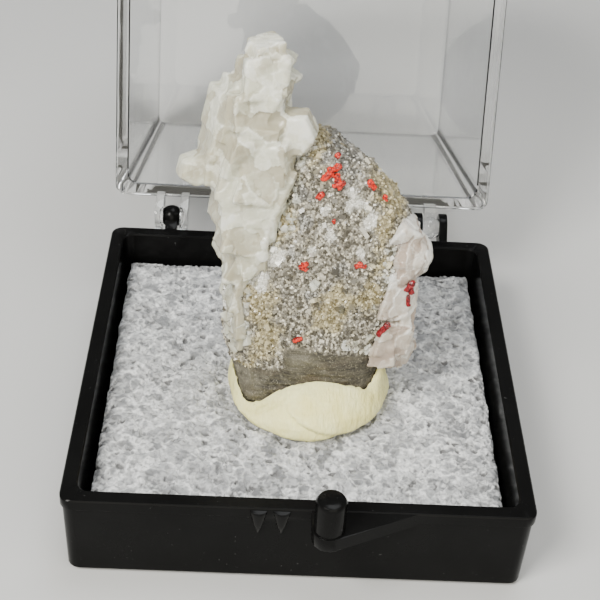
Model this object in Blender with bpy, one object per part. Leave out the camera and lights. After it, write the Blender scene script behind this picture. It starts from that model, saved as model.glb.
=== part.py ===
"""Calcite with realgar, standing in putty on a foam pad in a small hinged display box.

Sizes are in millimetres, and new_object() turns them into metres.
The origin is the centre of the tray's underside: +X right, +Y back, +Z up.
The specimen has a frame of its own, which leans back: X right, Y into the stone, Z up its front.
"""

import math

import bmesh
import bpy
from mathutils import Matrix, Vector, noise
from mathutils.bvhtree import BVHTree

MM = 0.001

# Box, the same moulding for both halves apart from its depth
BOX_SIDE = 38.0
WALL = 1.3
FLOOR = 1.2
CORNER_RADIUS = 1.0
CORNER_STEPS = 4
EDGE_BEVEL = 0.12
LIP_HEIGHT = 1.0
LIP_STEP = 0.14
FOOT_CHAMFER = 0.4
TRAY_DEPTH = 8.42
TRAY_DRAFT = 0.12
LID_DEPTH = 32.8
LID_DRAFT = 0.4
RIM_GAP = 0.3

# Hinge: a ball on each half, at its own left, between two ears of the other half
HINGE_BEHIND = 2.0
BALL_X = -13.2
BALL_RADIUS = 1.17
BALL_PLAY = 0.15
BALL_SEGMENTS, BALL_RINGS = 20, 12
ARM_WIDTH = 1.2
EAR_WIDTH = 0.8
EAR_GAP = 1.7
EAR_RADIUS = 1.5
ARM_RADIUS = 0.7
ARM_DROP = 2.5

# Catch: a knob on a shelf, and two teeth that the other half's knob slips over
KNOB_X, KNOB_Y = 2.35, -20.7
KNOB_PROFILE = ((1.05, -1.2), (1.25, -0.9), (1.25, 2.8), (1.08, 3.1), (0.7, 3.2))
KNOB_SIDES = 24
SHELF_THICKNESS = 1.3
SHELF_ROUND = 1.38
SHELF_ENDS = (0.95, 10.7)
TOOTH_X = (-3.2, -1.35)
TOOTH_HALF_WIDTH = 0.7
TOOTH_PROUD = 0.45
TOOTH_PROFILE = ((0.12, -2.7), (0.62, -1.6), (0.95, -0.5), (1.0, -0.2))

# Foam pad and putty
FOAM_HALF = 17.05
FOAM_TOP = 5.8
FOAM_BOTTOM = 1.35
FOAM_CORNER, FOAM_WAVE = 0.6, 0.1
PUTTY_CENTRE = (0.75, -1.5)
PUTTY_RADIUS = 7.3
PUTTY_BOTTOM = 5.9
PUTTY_HEIGHT = 3.0
PUTTY_EDGE = 0.45
PUTTY_GAP, PUTTY_LEAST_GAP = 0.1, 0.03  # the second holds in the stone's creases
PUTTY_AROUND, PUTTY_STEPS = 40, 9
PUTTY_LUMPS = (  # x, y, height added, reach
    (-6.0, -2.7, 4.7, 1.25),
    (-5.8, 0.6, 2.5, 1.8),
    (7.2, -2.8, 4.0, 1.0),
    (6.9, 0.8, 2.3, 1.7),
    (-4.4, -5.9, -1.7, 2.2),
    (3.6, -4.6, 0.5, 3.6),
)

# Specimen
LEAN = math.radians(12.0)
SPECIMEN_FOOT = (0.75, -4.5, 8.0)
STONE_CUT, STONE_CUT_SNAP = 6.4, 0.2
FIT_GAP = 0.1
STONE_CENTRE = (0.6, 9.5)
STONE_FRONT = -0.35
STONE_OUTLINE = (
    (-6.3, -3.2), (-6.6, 0.6), (-7.7, 4.2), (-7.9, 8.0), (-6.6, 10.8), (-5.0, 13.8),
    (-3.4, 17.0), (-2.8, 19.9), (-1.9, 21.9), (-0.2, 22.7), (1.2, 22.0), (2.7, 20.8),
    (4.1, 19.9), (5.5, 18.8), (6.9, 17.2), (8.2, 15.0), (8.6, 12.4), (8.0, 9.2),
    (7.7, 6.2), (6.7, 3.2), (6.0, 0.9), (5.8, -3.2),
)
STONE_SQUARENESS = 3.4
STONE_DIVISIONS = 12
STONE_HALF_DEPTH = (4.3, 5.2)  # at its foot, and from STONE_FULL_HEIGHT up
STONE_FULL_HEIGHT = 12.0
STONE_LUMP, STONE_LUMP_PITCH = 0.42, 2.6
STONE_SWELL, STONE_SWELL_PITCH = 0.22, 1.1
SHALE_TOP = 4.3
SHALE_LOW_TOP = 2.3  # left of SHALE_STEP_X
SHALE_STEP_X = -2.4
SHALE_PROUD = 0.55
SHALE_CORNER = 0.45  # how much further forward its left corner comes

# Calcite blocks: middle x, y, z, then width, depth, height, then turns about X, Y and Z in degrees
COLUMN_BLOCKS = (
    (-4.9, 2.6, 29.4, 2.6, 3.4, 2.1, 6, -8, 18),
    (-5.4, 3.1, 29.3, 1.6, 2.6, 1.6, -6, 8, -22),
    (-4.1, 2.6, 28.4, 2.0, 3.0, 2.3, 8, 20, -16),
    (-4.0, 2.9, 27.3, 2.2, 3.8, 1.9, 6, 36, -24),
    (-5.1, 2.9, 27.4, 3.7, 4.8, 3.2, -8, -6, 10),
    (-6.3, 3.2, 27.5, 1.7, 3.2, 1.8, 6, 5, 14),
    (-7.2, 3.3, 26.1, 1.8, 3.6, 1.9, -5, 9, 22),
    (-7.8, 3.2, 24.2, 2.7, 4.6, 3.4, 6, 6, 24),
    (-5.5, 3.3, 24.5, 4.6, 5.2, 4.6, 8, -5, -8),
    (-4.8, 2.1, 25.5, 2.5, 3.6, 2.7, 12, 14, -22),
    (-6.6, 2.0, 24.8, 2.9, 4.0, 3.0, -8, -9, 20),
    (-5.1, 1.7, 23.1, 3.1, 3.8, 2.6, 16, 5, -6),
    (-8.7, 3.5, 22.2, 1.8, 4.4, 3.2, 3, 3, 16),
    (-5.4, 3.7, 20.3, 5.8, 5.8, 6.4, -6, 4, 5),
    (-6.6, 1.9, 21.6, 3.0, 4.2, 3.1, 14, 9, 14),
    (-3.9, 1.9, 20.8, 3.1, 4.0, 3.6, 9, -12, -20),
    (-5.3, 1.6, 18.7, 3.3, 3.8, 3.2, -12, 7, 8),
    (-7.4, 2.0, 19.4, 2.3, 3.8, 3.9, 6, 4, 18),
    (-9.0, 3.4, 20.0, 2.0, 4.0, 3.0, 4, -6, 14),
    (-7.3, 3.4, 16.5, 2.5, 5.0, 4.0, -3, 3, 18),
    (-5.8, 2.4, 16.1, 4.0, 5.2, 4.4, 7, -9, -6),
    (-3.5, 2.0, 18.2, 2.6, 3.4, 4.0, -8, 13, -18),
    (-4.1, 1.7, 15.4, 2.2, 3.0, 2.6, 14, -16, -24),
    (-6.6, 1.9, 14.1, 3.0, 4.2, 3.0, -10, 12, 12),
    (-5.0, 1.6, 12.9, 2.6, 3.4, 2.8, 8, -15, -18),
    (-7.1, 3.2, 13.0, 1.9, 4.4, 3.4, 4, 5, 20),
    (-6.3, 2.2, 11.5, 2.6, 4.0, 2.5, 12, 15, 6),
    (-5.9, 1.4, 11.4, 1.8, 2.8, 2.1, -10, -18, 18),
    (-6.3, 2.4, 9.1, 2.1, 4.2, 3.4, 3, 8, 14),
    (-6.3, 1.9, 6.6, 1.9, 3.8, 3.6, -3, -5, 18),
    (-5.8, 1.7, 4.9, 1.7, 3.0, 2.4, 2, 6, 14),
    (-5.8, 6.8, 21.8, 5.0, 4.4, 6.4, 8, -10, -24),
    (-6.1, 6.2, 15.6, 4.0, 4.2, 5.6, -6, 9, 20),
    (-5.2, 5.3, 24.9, 3.2, 4.0, 3.4, 10, 14, 26),
)
# Thicker tabular crystals: middle x, y, z, radius along the width and the height, thickness, turns
COLUMN_PLATES = (
    (-10.25, 2.9, 19.3, 1.85, 1.45, 2.5, 0, -7, 16),
    (-2.25, 2.0, 23.2, 1.85, 2.1, 2.8, 8, 12, -8),
)
EDGE_BLOCKS = (
    (7.2, 2.3, 14.8, 2.2, 3.4, 2.0, 6, 34, 10),
    (6.7, 1.8, 9.3, 2.7, 3.6, 3.4, 5, 6, 14),
    (7.6, 2.8, 8.1, 1.5, 3.8, 3.0, -4, -6, 22),
    (6.8, 1.6, 5.5, 3.1, 3.6, 2.8, 4, 8, 12),
    (7.4, 2.5, 3.9, 2.1, 3.6, 2.2, 6, 14, 24),
    (6.3, 0.9, 4.0, 2.4, 2.6, 1.9, 5, -12, -14),
    (7.2, 2.6, 3.2, 1.9, 3.0, 1.8, 8, 16, 20),
    (7.6, 5.8, 10.6, 2.2, 3.6, 5.4, -4, -8, -16),
)
# Rounded growths on the same edge: middle x, y, z, then half width, half depth, half height
EDGE_LUMPS = (
    (7.9, 2.9, 12.5, 2.1, 2.9, 2.2),
    (8.3, 3.3, 11.7, 1.6, 2.6, 1.5),
    (7.3, 2.0, 12.5, 1.9, 2.2, 2.1),
    (7.1, 1.7, 11.2, 1.7, 2.0, 1.4),
)
LUMP_ROUGHNESS = 0.12
RHOMB_SKEW = 0.16

# Realgar prisms: x and z on the front of the stone, length, width, turn in the front plane, depth
# of its middle, which is measured from the surface behind it
REALGAR_GROUPS = (
    (
        (1.2, 21.2, 0.5, 0.42, 20, -0.1),
        (1.45, 21.0, 0.32, 0.3, 75, -0.05),
    ),
    (
        (0.4, 19.85, 0.75, 0.5, 42, -0.15),
        (0.75, 20.2, 0.62, 0.46, -30, -0.2),
        (1.1, 20.5, 0.8, 0.5, 50, -0.18),
        (1.4, 20.8, 0.6, 0.42, 12, -0.12),
        (1.6, 20.5, 0.4, 0.34, 80, -0.1),
    ),
    (
        (1.35, 19.6, 0.8, 0.52, -12, -0.2),
        (1.6, 19.2, 0.62, 0.46, 35, -0.15),
        (1.2, 19.15, 0.5, 0.4, 75, -0.12),
        (2.2, 18.95, 0.5, 0.34, 70, -0.08),
    ),
    (
        (4.0, 19.45, 0.8, 0.52, 14, -0.3),
        (4.25, 18.95, 0.75, 0.52, -35, -0.3),
        (4.15, 18.45, 0.85, 0.52, 62, -0.3),
    ),
    ((-0.05, 18.3, 0.55, 0.46, 40, -0.12),),
    ((5.45, 17.8, 0.5, 0.36, -15, -0.08),),
    ((1.2, 16.25, 0.32, 0.3, 0, -0.06),),
    (
        (-1.1, 12.25, 0.55, 0.48, 35, -0.15),
        (-0.95, 12.0, 0.4, 0.36, -50, -0.1),
    ),
    (
        (3.45, 12.5, 0.55, 0.38, 62, -0.1),
        (3.85, 12.4, 0.42, 0.3, 95, -0.08),
    ),
    (
        (7.95, 10.5, 0.9, 0.6, 24, -0.15),
        (8.1, 10.15, 0.7, 0.5, -20, -0.1),
    ),
    ((8.0, 9.1, 1.0, 0.28, -8, -0.08),),
    (
        (5.45, 5.9, 1.3, 0.5, 44, -0.15),
        (6.0, 6.7, 1.4, 0.5, 32, -0.18),
    ),
    ((-1.3, 5.4, 0.6, 0.42, 60, -0.1),),
)

COLOURS = {  # base colour, roughness, alpha
    "box_base": ((0.012, 0.012, 0.011), 0.25, 1.0),
    "box_lid": ((0.92, 0.94, 0.94), 0.08, 0.25),
    "foam_liner": ((0.55, 0.57, 0.58), 0.75, 1.0),
    "putty": ((0.82, 0.78, 0.62), 0.6, 1.0),
    "matrix_rock": ((0.36, 0.34, 0.28), 0.65, 1.0),
    "calcite": ((0.80, 0.78, 0.70), 0.3, 1.0),
    "calcite_edge": ((0.76, 0.69, 0.64), 0.35, 1.0),
    "realgar": ((0.80, 0.07, 0.02), 0.25, 1.0),
}


def clear_scene():
    for old in list(bpy.data.objects):
        bpy.data.objects.remove(old, do_unlink=True)


def material(name):
    """The Principled material of this name, made once."""
    made = bpy.data.materials.get(name)
    if made:
        return made
    colour, roughness, alpha = COLOURS[name]
    made = bpy.data.materials.new(name)
    made.use_nodes = True
    shader = made.node_tree.nodes["Principled BSDF"]
    shader.inputs["Base Color"].default_value = (*colour, 1.0)
    shader.inputs["Roughness"].default_value = roughness
    shader.inputs["Metallic"].default_value = 0.0
    shader.inputs["Alpha"].default_value = alpha
    return made


def new_object(name, shape, finish=None):
    """An object from a bmesh in millimetres, scaled to metres."""
    bmesh.ops.recalc_face_normals(shape, faces=shape.faces)
    bmesh.ops.scale(shape, vec=(MM, MM, MM), verts=shape.verts)
    mesh = bpy.data.meshes.new(name)
    shape.to_mesh(mesh)
    shape.free()
    made = bpy.data.objects.new(name, mesh)
    bpy.context.scene.collection.objects.link(made)
    if finish:
        mesh.materials.append(material(finish))
    return made


def evaluated_mesh(thing):
    graph = bpy.context.evaluated_depsgraph_get()
    return bpy.data.meshes.new_from_object(thing.evaluated_get(graph))


def combine(target, tool, operation, keep_tool=False):
    """Applies a Boolean of the tool object to the target, and removes the tool."""
    cut = target.modifiers.new("cut", "BOOLEAN")
    cut.operation = operation
    cut.object = tool
    cut.solver = "EXACT"
    finish = list(target.data.materials)
    mesh = evaluated_mesh(target)
    target.modifiers.clear()
    target.data = mesh
    mesh.materials.clear()
    for each in finish:
        mesh.materials.append(each)
    mesh.polygons.foreach_set("material_index", [0] * len(mesh.polygons))
    if not keep_tool:
        bpy.data.objects.remove(tool, do_unlink=True)


def united(name, shapes, finish):
    """One object from several overlapping bmeshes."""
    whole = new_object(name, shapes[0], finish)
    for number, shape in enumerate(shapes[1:]):
        combine(whole, new_object(f"{name}_part_{number}", shape), "UNION")
    return whole


def keep_largest_piece(thing):
    """Drops the chips that a cut leaves beside the main body."""
    shape = bmesh.new()
    shape.from_mesh(thing.data)
    bmesh.ops.remove_doubles(shape, verts=shape.verts, dist=0.002 * MM)
    left = set(shape.verts)
    pieces = []
    while left:
        stack = [left.pop()]
        piece = set(stack)
        while stack:
            for edge in stack.pop().link_edges:
                for end in edge.verts:
                    if end in left:
                        left.remove(end)
                        piece.add(end)
                        stack.append(end)
        pieces.append(piece)
    pieces.sort(key=len, reverse=True)
    for piece in pieces[1:]:
        bmesh.ops.delete(shape, geom=list(piece), context="VERTS")
    shape.to_mesh(thing.data)
    shape.free()


def rounded_square(half, radius, z):
    """Points around a square with round corners, counter-clockwise from above."""
    points = []
    for corner in range(4):
        turn = math.radians(90 * corner)
        centre = Matrix.Rotation(turn, 2) @ Vector((half - radius, half - radius))
        for step in range(CORNER_STEPS + 1):
            angle = turn + math.radians(90) * step / CORNER_STEPS
            points.append((centre.x + radius * math.cos(angle), centre.y + radius * math.sin(angle), z))
    return points


def loft(rings):
    """A closed bmesh through rings with equal numbers of points, capped at both ends."""
    shape = bmesh.new()
    rows = [[shape.verts.new(point) for point in ring] for ring in rings]
    count = len(rows[0])
    for lower, upper in zip(rows, rows[1:]):
        for here in range(count):
            after = (here + 1) % count
            shape.faces.new((lower[here], lower[after], upper[after], upper[here]))
    shape.faces.new(rows[0][::-1])
    shape.faces.new(rows[-1])
    return shape


def extruded(outline, low, high, axis):
    """A prism on an outline, from low to high along axis X or Z."""
    def place(point, along):
        return (along, *point) if axis == "X" else (*point, along)
    return loft([[place(point, low) for point in outline], [place(point, high) for point in outline]])


def arc(centre, radius, start, end, steps):
    """Points along an arc; the angles are in degrees."""
    angles = (math.radians(start + (end - start) * step / steps) for step in range(steps + 1))
    return [(centre[0] + radius * math.cos(a), centre[1] + radius * math.sin(a)) for a in angles]


def ball(centre, radius):
    shape = bmesh.new()
    bmesh.ops.create_uvsphere(
        shape,
        u_segments=BALL_SEGMENTS,
        v_segments=BALL_RINGS,
        radius=radius,
        matrix=Matrix.Translation(centre),
    )
    return shape


def box_shell(depth, draft):
    """Open box: its rim at z = 0, its floor below."""
    half = BOX_SIDE / 2
    below_lip = half - LIP_STEP
    inner = half - WALL
    floor = -depth + FLOOR
    rings = (
        (below_lip - draft - FOOT_CHAMFER, -depth),
        (below_lip - draft, -depth + FOOT_CHAMFER),
        (below_lip, -LIP_HEIGHT - LIP_STEP / 2),
        (half, -LIP_HEIGHT),
        (half, -EDGE_BEVEL),
        (half - EDGE_BEVEL, 0.0),
        (inner + EDGE_BEVEL, 0.0),
        (inner, -EDGE_BEVEL),
        (inner - draft, floor),
    )
    return loft([rounded_square(size, CORNER_RADIUS, z) for size, z in rings])


def catch_shelf():
    near_wall = -BOX_SIDE / 2 + WALL / 2
    nose = arc((KNOB_X, KNOB_Y), SHELF_ROUND, 180, 295, 6)
    outline = [(SHELF_ENDS[0], near_wall), *nose, (SHELF_ENDS[1], near_wall)]
    return extruded(outline, -SHELF_THICKNESS, -0.06, "Z")


def catch_knob():
    def ring(radius, z):
        return [(x, y, z) for x, y in arc((KNOB_X, KNOB_Y), radius, 0, 360, KNOB_SIDES)[:-1]]
    return loft([ring(radius, z) for radius, z in KNOB_PROFILE])


def catch_tooth(x):
    """Half a cone against the front wall, its wide end at the rim."""
    wall = -BOX_SIDE / 2
    wide = arc((0, 0), 1.0, 190, 350, 6)
    root = wall + WALL / 2
    def ring(scale, z):
        reach = TOOTH_HALF_WIDTH * scale
        front = [(x + px * reach, wall + py * TOOTH_PROUD * scale, z) for px, py in wide]
        return [*front, (x + reach, root, z), (x - reach, root, z)]
    return loft([ring(scale, z) for scale, z in TOOTH_PROFILE])


def hinge_bracket(x, width, radius):
    """A flat arm from the back wall, with a round end on the hinge axis."""
    root = BOX_SIDE / 2 - WALL / 2
    axis_y, axis_z = BOX_SIDE / 2 + HINGE_BEHIND, RIM_GAP / 2
    end = arc((axis_y, axis_z), radius, -50, 150, 10)
    outline = [(root, -ARM_DROP), *end, (root, -0.45)]
    return extruded(outline, x - width / 2, x + width / 2, "X")


def box_half(name, depth, draft, finish):
    """One half of the box with its catch and hinge parts, rim at z = 0 and floor below."""
    centre = (0.0, BOX_SIDE / 2 + HINGE_BEHIND, RIM_GAP / 2)
    shapes = [box_shell(depth, draft), catch_shelf(), catch_knob()]
    shapes += [catch_tooth(x) for x in TOOTH_X]
    ear_offset = (EAR_GAP + EAR_WIDTH) / 2
    for side in (-1, 1):
        shapes.append(hinge_bracket(-BALL_X + side * ear_offset, EAR_WIDTH, EAR_RADIUS))
    shapes.append(hinge_bracket(BALL_X, ARM_WIDTH, ARM_RADIUS))
    shapes.append(ball((BALL_X, centre[1], centre[2]), BALL_RADIUS))
    half = united(name, shapes, finish)
    seat = ball((-BALL_X, centre[1], centre[2]), BALL_RADIUS + BALL_PLAY)
    combine(half, new_object(f"{name}_seat", seat), "DIFFERENCE")
    return half


def moved_mesh(thing, matrix):
    thing.data.transform(matrix)
    thing.data.update()


def make_base():
    base = box_half("box_base", TRAY_DEPTH, TRAY_DRAFT, "box_base")
    moved_mesh(base, Matrix.Translation((0, 0, TRAY_DEPTH * MM)))
    return base


def lid_opening():
    """How far the lid is open when its back wall's far edge lies on the surface."""
    axis_height = TRAY_DEPTH + RIM_GAP / 2
    behind = HINGE_BEHIND + LIP_STEP + LID_DRAFT
    height = RIM_GAP / 2 + LID_DEPTH
    angles = []
    for y, z in ((-behind, height - FOOT_CHAMFER), (-behind - FOOT_CHAMFER, height)):
        angles.append(math.atan2(z, y) + math.asin(axis_height / math.hypot(y, z)))
    return min(angles)


def make_lid():
    """The clear half, turned over, with its origin on the hinge axis and open at rest."""
    lid = box_half("box_lid", LID_DEPTH, LID_DRAFT, "box_lid")
    turned = Matrix.Rotation(math.pi, 4, "Y")
    above = Matrix.Translation((0, -(BOX_SIDE / 2 + HINGE_BEHIND) * MM, RIM_GAP / 2 * MM))
    moved_mesh(lid, above @ turned)
    lid.location = Vector((0, BOX_SIDE / 2 + HINGE_BEHIND, TRAY_DEPTH + RIM_GAP / 2)) * MM
    lid.rotation_euler.x = -lid_opening()
    return lid


def make_foam():
    """A cut square pad with slightly uneven sides."""
    def ring(half, z):
        points = rounded_square(half, FOAM_CORNER, z)
        def wave(x, y):
            return FOAM_WAVE * math.sin(1.7 * y + z), FOAM_WAVE * math.cos(1.3 * x - z)
        return [(x + wave(x, y)[0], y + wave(x, y)[1], z) for x, y, _ in points]
    heights = (
        (FOAM_HALF - 0.25, FOAM_BOTTOM),
        (FOAM_HALF, (FOAM_BOTTOM + FOAM_TOP) / 2),
        (FOAM_HALF, FOAM_TOP - 0.3),
        (FOAM_HALF - 0.3, FOAM_TOP),
    )
    return new_object("foam_liner", loft([ring(half, z) for half, z in heights]), "foam_liner")


def putty_height(x, y, reach):
    """Height of the putty's top above the foam; reach runs from 0 in the middle to 1 at its edge."""
    dome = PUTTY_HEIGHT * (1.0 - reach**3.0) ** 0.6
    for lump_x, lump_y, height, width in PUTTY_LUMPS:
        away = ((x - lump_x) ** 2 + (y - lump_y) ** 2) / width**2
        dome += height * math.exp(-away) * (1.0 - reach**8)
    return max(dome, 0.0)


def make_putty(stone):
    """A pressed lump with two raised ends, hollowed where the stone stands in it."""
    around, steps = PUTTY_AROUND, PUTTY_STEPS
    middle, brim = Vector(PUTTY_CENTRE), PUTTY_BOTTOM + PUTTY_EDGE
    shape = bmesh.new()
    floor, rows = [], []
    for turn in range(around):
        angle = math.tau * turn / around
        wobble = 1.0 + 0.02 * math.sin(3 * angle + 0.6) + 0.012 * math.sin(7 * angle)
        edge = Vector((math.cos(angle), math.sin(angle))) * PUTTY_RADIUS * wobble
        floor.append(shape.verts.new((*(middle + edge * 0.95), PUTTY_BOTTOM)))
        column = []
        for step in range(steps):
            reach = 1.0 - (step / steps) ** 1.5
            x, y = middle + edge * reach
            column.append(shape.verts.new((x, y, brim + putty_height(x, y, reach))))
        rows.append(column)
    top = shape.verts.new((*middle, brim + putty_height(*middle, 0.0)))
    for here in range(around):
        after = (here + 1) % around
        shape.faces.new((floor[here], floor[after], rows[after][0], rows[here][0]))
        for low, high in zip(range(steps - 1), range(1, steps)):
            shape.faces.new((rows[here][low], rows[after][low], rows[after][high], rows[here][high]))
        shape.faces.new((rows[here][-1], rows[after][-1], top))
    shape.faces.new(floor[::-1])
    putty = new_object("putty", shape, "putty")
    for gap in (PUTTY_GAP, PUTTY_LEAST_GAP):
        combine(putty, swollen(stone, gap), "DIFFERENCE")
    keep_largest_piece(putty)
    return putty


def outline_reach(angle):
    """Distance from the stone's centre to its outline in this direction."""
    ray = Vector((math.cos(angle), math.sin(angle)))
    centre = Vector(STONE_CENTRE)
    count = len(STONE_OUTLINE)
    for here in range(count):
        a = Vector(STONE_OUTLINE[here]) - centre
        along = Vector(STONE_OUTLINE[(here + 1) % count]) - centre - a
        cross = ray.x * along.y - ray.y * along.x
        if abs(cross) < 1e-9:
            continue
        far = (a.x * along.y - a.y * along.x) / cross
        part = (a.x * ray.y - a.y * ray.x) / cross
        if far > 0 and -1e-6 <= part <= 1 + 1e-6:
            return far
    return 0.0


def stone_half_depth(z):
    foot, full = STONE_HALF_DEPTH
    return foot + (full - foot) * min(max(z / STONE_FULL_HEIGHT, 0.0), 1.0)


def stone_point(direction):
    """A point of the stone for a direction from its middle: a rounded slab on the outline."""
    around = math.hypot(direction.x, direction.z)
    spread = around ** (2 / STONE_SQUARENESS)
    inward = math.copysign(abs(direction.y) ** (2 / STONE_SQUARENESS), direction.y)
    angle = math.atan2(direction.z, direction.x)
    reach = outline_reach(angle) * spread
    x = STONE_CENTRE[0] + reach * math.cos(angle)
    z = STONE_CENTRE[1] + reach * math.sin(angle)
    half = stone_half_depth(z)
    y = STONE_FRONT + half + half * inward
    front = max(-inward, 0.0)
    if z < SHALE_TOP and (x > SHALE_STEP_X or z < SHALE_LOW_TOP):
        corner = min(max((-1.0 - x) / 3.0, 0.0), 1.0)
        y -= (SHALE_PROUD + SHALE_CORNER * corner) * front
    return Vector((x, y, z))


def make_stone():
    """The grey stone: lumpy above, with a ledge of shale below, cut flat where it meets the putty."""
    shape = bmesh.new()
    bmesh.ops.create_cube(shape, size=2.0)
    bmesh.ops.subdivide_edges(shape, edges=shape.edges, cuts=STONE_DIVISIONS - 1, use_grid_fill=True)
    for corner in shape.verts:
        eased = Vector([math.tan(value * math.pi / 4) for value in corner.co])
        point = stone_point(eased.normalized())
        middle = Vector((STONE_CENTRE[0], stone_half_depth(point.z), STONE_CENTRE[1]))
        away = (point - middle).normalized()
        nearest = noise.voronoi(point / STONE_LUMP_PITCH)[0][0]
        lump = STONE_LUMP * (0.45 - nearest)
        swell = STONE_SWELL * noise.noise(point / STONE_SWELL_PITCH)
        corner.co = point + away * (lump + swell)
    cut_point = Vector((0, 0, (STONE_CUT - SPECIMEN_FOOT[2]) / math.cos(LEAN)))
    down = Vector((0, math.sin(LEAN), -math.cos(LEAN)))
    parts = list(shape.verts) + list(shape.edges) + list(shape.faces)
    plane = {"plane_co": cut_point, "plane_no": down, "clear_outer": True}
    bmesh.ops.bisect_plane(shape, geom=parts, dist=STONE_CUT_SNAP, **plane)
    rim = [edge for edge in shape.edges if edge.is_boundary]
    bmesh.ops.contextual_create(shape, geom=rim)
    return new_object("matrix_rock", shape, "matrix_rock")


def swollen(thing, amount):
    """A copy of the object grown outwards along its normals, as a cutter."""
    tool = bpy.data.objects.new(f"{thing.name}_cutter", thing.data.copy())
    bpy.context.scene.collection.objects.link(tool)
    grow = tool.modifiers.new("grow", "DISPLACE")
    grow.strength = amount * MM
    grow.mid_level = 0.0
    tool.parent = thing.parent
    tool.matrix_world = thing.matrix_world.copy()
    tool.hide_render = True
    tool.display_type = "WIRE"
    bpy.context.view_layer.update()
    return tool


def turned(centre, turns):
    """A placing matrix from a middle point and turns in degrees about X, Y and Z."""
    matrix = Matrix.Translation(centre)
    for degrees, axis in zip(turns, "XYZ"):
        matrix = matrix @ Matrix.Rotation(math.radians(degrees), 4, axis)
    return matrix


def rhomb(x, y, z, width, depth, height, *turns):
    """A cleavage rhomb: a box sheared sideways and inwards."""
    shape = bmesh.new()
    bmesh.ops.create_cube(shape, size=1.0)
    for corner in shape.verts:
        px, py, pz = corner.co.x * width, corner.co.y * depth, corner.co.z * height
        corner.co = (px + RHOMB_SKEW * pz, py + RHOMB_SKEW * pz * 0.6 + RHOMB_SKEW * px, pz)
    bmesh.ops.transform(shape, matrix=turned((x, y, z), turns), verts=shape.verts)
    return shape


def tabular(x, y, z, reach_x, reach_z, thickness, *turns):
    """A six-sided plate, thinner towards its edges."""
    def ring(scale, depth):
        corners = arc((0, 0), 1.0, 12, 372, 6)[:-1]
        return [(cx * reach_x * scale, depth, cz * reach_z * scale) for cx, cz in corners]
    half = thickness / 2
    shape = loft([ring(0.86, -half), ring(1.0, -half * 0.45), ring(1.0, half * 0.6), ring(0.8, half)])
    bmesh.ops.transform(shape, matrix=turned((x, y, z), turns), verts=shape.verts)
    return shape


def growth(x, y, z, half_width, half_depth, half_height):
    """A rounded growth with an uneven, faceted skin."""
    shape = bmesh.new()
    bmesh.ops.create_icosphere(shape, subdivisions=2, radius=1.0)
    for corner in shape.verts:
        uneven = 1.0 + LUMP_ROUGHNESS * noise.noise(corner.co * 2.3 + Vector((x, y, z)))
        swell = Vector((corner.co.x * half_width, corner.co.y * half_depth, corner.co.z * half_height))
        corner.co = Vector((x, y, z)) + swell * uneven
    return shape


def grown_together(name, finish, shapes, stone, seat):
    """Crystals united in one body, parted from the stone by the fitting gap."""
    mass = united(name, shapes, finish)
    combine(mass, swollen(stone, FIT_GAP), "DIFFERENCE")
    keep_largest_piece(mass)
    mass.parent = seat
    return mass


def realgar_prism(x, y, z, length, width, turn):
    """A short six-sided prism with a slanted end, lying nearly flat on the surface."""
    section = arc((0, 0), width / 2, 30, 390, 6)[:-1]
    low = [(px, py * 0.9, -length / 2) for px, py in section]
    high = [(px, py * 0.9, length / 2 + px * 0.35) for px, py in section]
    tip = [(px * 0.55, py * 0.5, length / 2 + width * 0.28) for px, py in section]
    shape = loft([low, high, tip])
    placing = turned((x, y, z), (8, turn, 10))
    bmesh.ops.transform(shape, matrix=placing, verts=shape.verts)
    return shape


def front_surface(things):
    """Finds how far back the front of these objects is at a point of the specimen's front plane."""
    trees = []
    for thing in things:
        shape = bmesh.new()
        shape.from_mesh(thing.data)
        trees.append(BVHTree.FromBMesh(shape))
        shape.free()
    def depth(x, z):
        start = Vector((x, -20.0, z)) * MM
        hits = [tree.ray_cast(start, Vector((0, 1, 0)))[0] for tree in trees]
        return min(hit.y / MM for hit in hits if hit)
    return depth


def make_realgar(carriers, seat):
    """Small red crystals, each cut to sit on what it grows from."""
    depth_at = front_surface(carriers)
    for number, prisms in enumerate(REALGAR_GROUPS, 1):
        shapes = [
            realgar_prism(x, depth_at(x, z) + sunk, z, length, width, turn)
            for x, z, length, width, turn, sunk in prisms
        ]
        crystal = united(f"realgar_{number:02d}", shapes, "realgar")
        for carrier in carriers:
            combine(crystal, swollen(carrier, FIT_GAP), "DIFFERENCE")
        keep_largest_piece(crystal)
        crystal.parent = seat


def make_specimen():
    seat = bpy.data.objects.new("specimen_seat", None)
    bpy.context.scene.collection.objects.link(seat)
    stone = make_stone()
    column_shapes = [rhomb(*block) for block in COLUMN_BLOCKS]
    column_shapes += [tabular(*plate) for plate in COLUMN_PLATES]
    column = grown_together("calcite_mass", "calcite", column_shapes, stone, seat)
    edge_shapes = [growth(*lump) for lump in EDGE_LUMPS]
    edge_shapes += [rhomb(*block) for block in EDGE_BLOCKS]
    edge = grown_together("calcite_edge", "calcite_edge", edge_shapes, stone, seat)
    stone.parent = seat
    make_realgar([stone, column, edge], seat)
    seat.location = Vector(SPECIMEN_FOOT) * MM
    seat.rotation_euler.x = -LEAN
    bpy.context.view_layer.update()
    return stone


def main():
    clear_scene()
    make_base()
    make_lid()
    make_foam()
    stone = make_specimen()
    make_putty(stone)


main()
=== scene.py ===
"""Calcite with realgar in its hinged display box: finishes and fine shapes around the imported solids."""

import math
import random

import bmesh
import bpy
import numpy as np
from mathutils import Euler, Matrix, Vector, noise
from mathutils.bvhtree import BVHTree


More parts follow.
